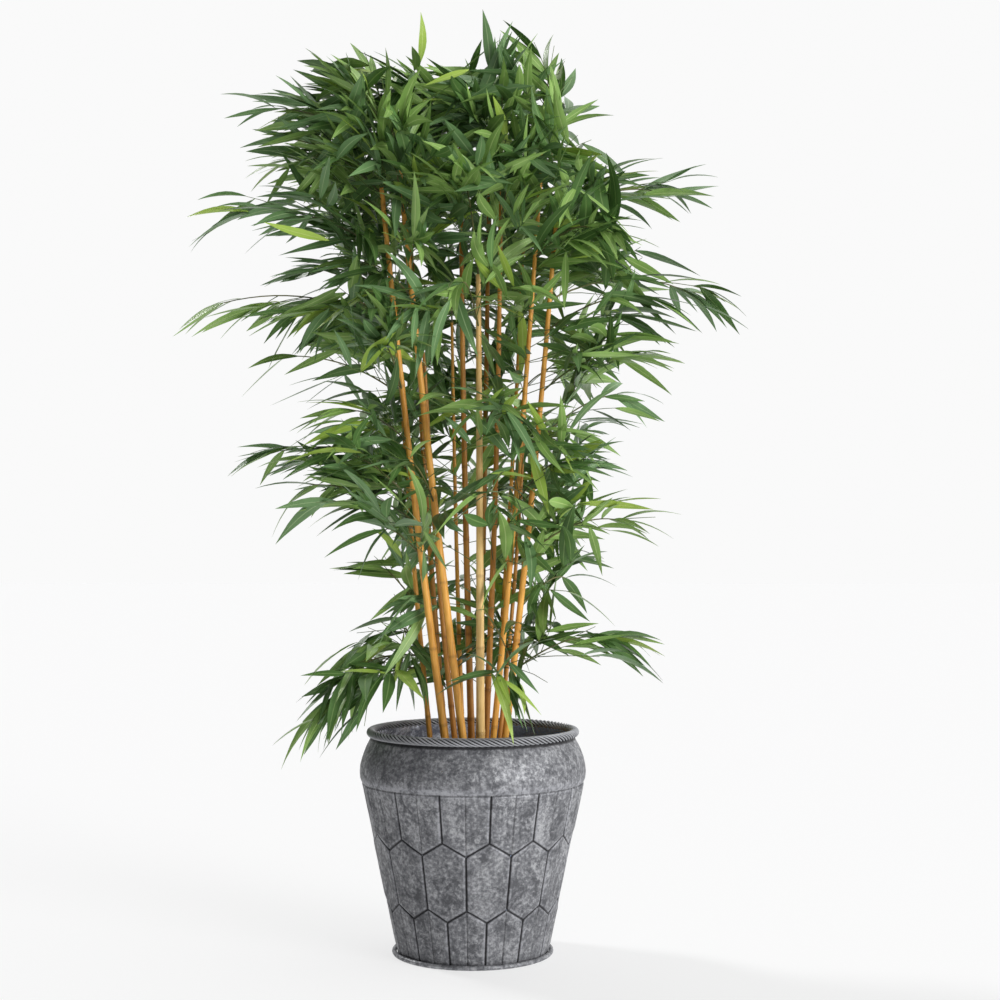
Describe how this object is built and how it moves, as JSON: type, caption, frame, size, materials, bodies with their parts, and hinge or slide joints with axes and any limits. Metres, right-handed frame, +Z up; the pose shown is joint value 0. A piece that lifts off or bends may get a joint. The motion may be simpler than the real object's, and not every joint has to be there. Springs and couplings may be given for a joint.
{
  "type": "potted bamboo",
  "caption": "Clump of tan bamboo canes with tiers of narrow green leaves in a round tapered zinc planter, pressed with long six-sided panels under a bulging band and a rope-twist rim.",
  "frame": {"origin": "centre of the planter's flat underside", "axes": "+Z up along the planter's axis, -Y towards the front, +X to the right seen from the front"},
  "size_m": [1.145, 0.8711, 1.8567],
  "materials": {
    "zinc": "aged galvanised zinc, mottled grey",
    "potting_mix": "dark bark chips and mix",
    "cane": "smooth tan cane, satin",
    "leaf_dark": "dark green printed cloth leaf, satin",
    "leaf_mid": "mid green printed cloth leaf, satin"
  },
  "bodies": {
    "root": {"cane_01": "cane", "cane_02": "cane", "cane_03": "cane", "cane_04": "cane", "cane_05": "cane", "cane_06": "cane", "cane_07": "cane", "cane_08": "cane", "cane_09": "cane", "cane_10": "cane", "cane_11": "cane", "cane_12": "cane", "cane_13": "cane", "cane_14": "cane", "foliage_01_front": "leaf_dark", "foliage_01_left": "leaf_mid", "foliage_01_right": "leaf_dark", "foliage_02_left": "leaf_mid", "foliage_02_right": "leaf_dark", "foliage_03_back": "leaf_mid", "foliage_03_back_2": "leaf_dark", "foliage_03_left": "leaf_mid", "foliage_03_right": "leaf_dark", "foliage_04_back": "leaf_mid", "foliage_04_front": "leaf_dark", "foliage_04_left": "leaf_mid", "foliage_04_right": "leaf_dark", "foliage_05_front": "leaf_mid", "foliage_05_left": "leaf_dark", "foliage_05_right": "leaf_mid", "foliage_06_back": "leaf_dark", "foliage_06_front": "leaf_mid", "foliage_06_left": "leaf_dark", "foliage_06_right": "leaf_mid", "foliage_07_back": "leaf_dark", "foliage_07_front": "leaf_mid", "foliage_07_left": "leaf_dark", "foliage_07_right": "leaf_mid", "foliage_08_left": "leaf_dark", "foliage_08_right": "leaf_mid", "foliage_09_back": "leaf_dark", "foliage_09_left": "leaf_mid", "foliage_09_right": "leaf_dark", "foliage_10_front": "leaf_mid", "foliage_10_front_2": "leaf_dark", "foliage_10_left": "leaf_mid", "foliage_10_right": "leaf_dark", "foliage_11_back": "leaf_mid", "foliage_11_left": "leaf_dark", "foliage_11_left_2": "leaf_mid", "foliage_11_right": "leaf_dark", "foliage_12_left": "leaf_mid", "foliage_13_back": "leaf_dark", "foliage_13_front": "leaf_mid", "foliage_13_left": "leaf_dark", "foliage_13_right": "leaf_mid", "pot_body": "zinc", "pot_foot_ring": "zinc", "pot_rope_rim": "zinc", "potting_mix": "potting_mix"}
  },
  "joints": []
}
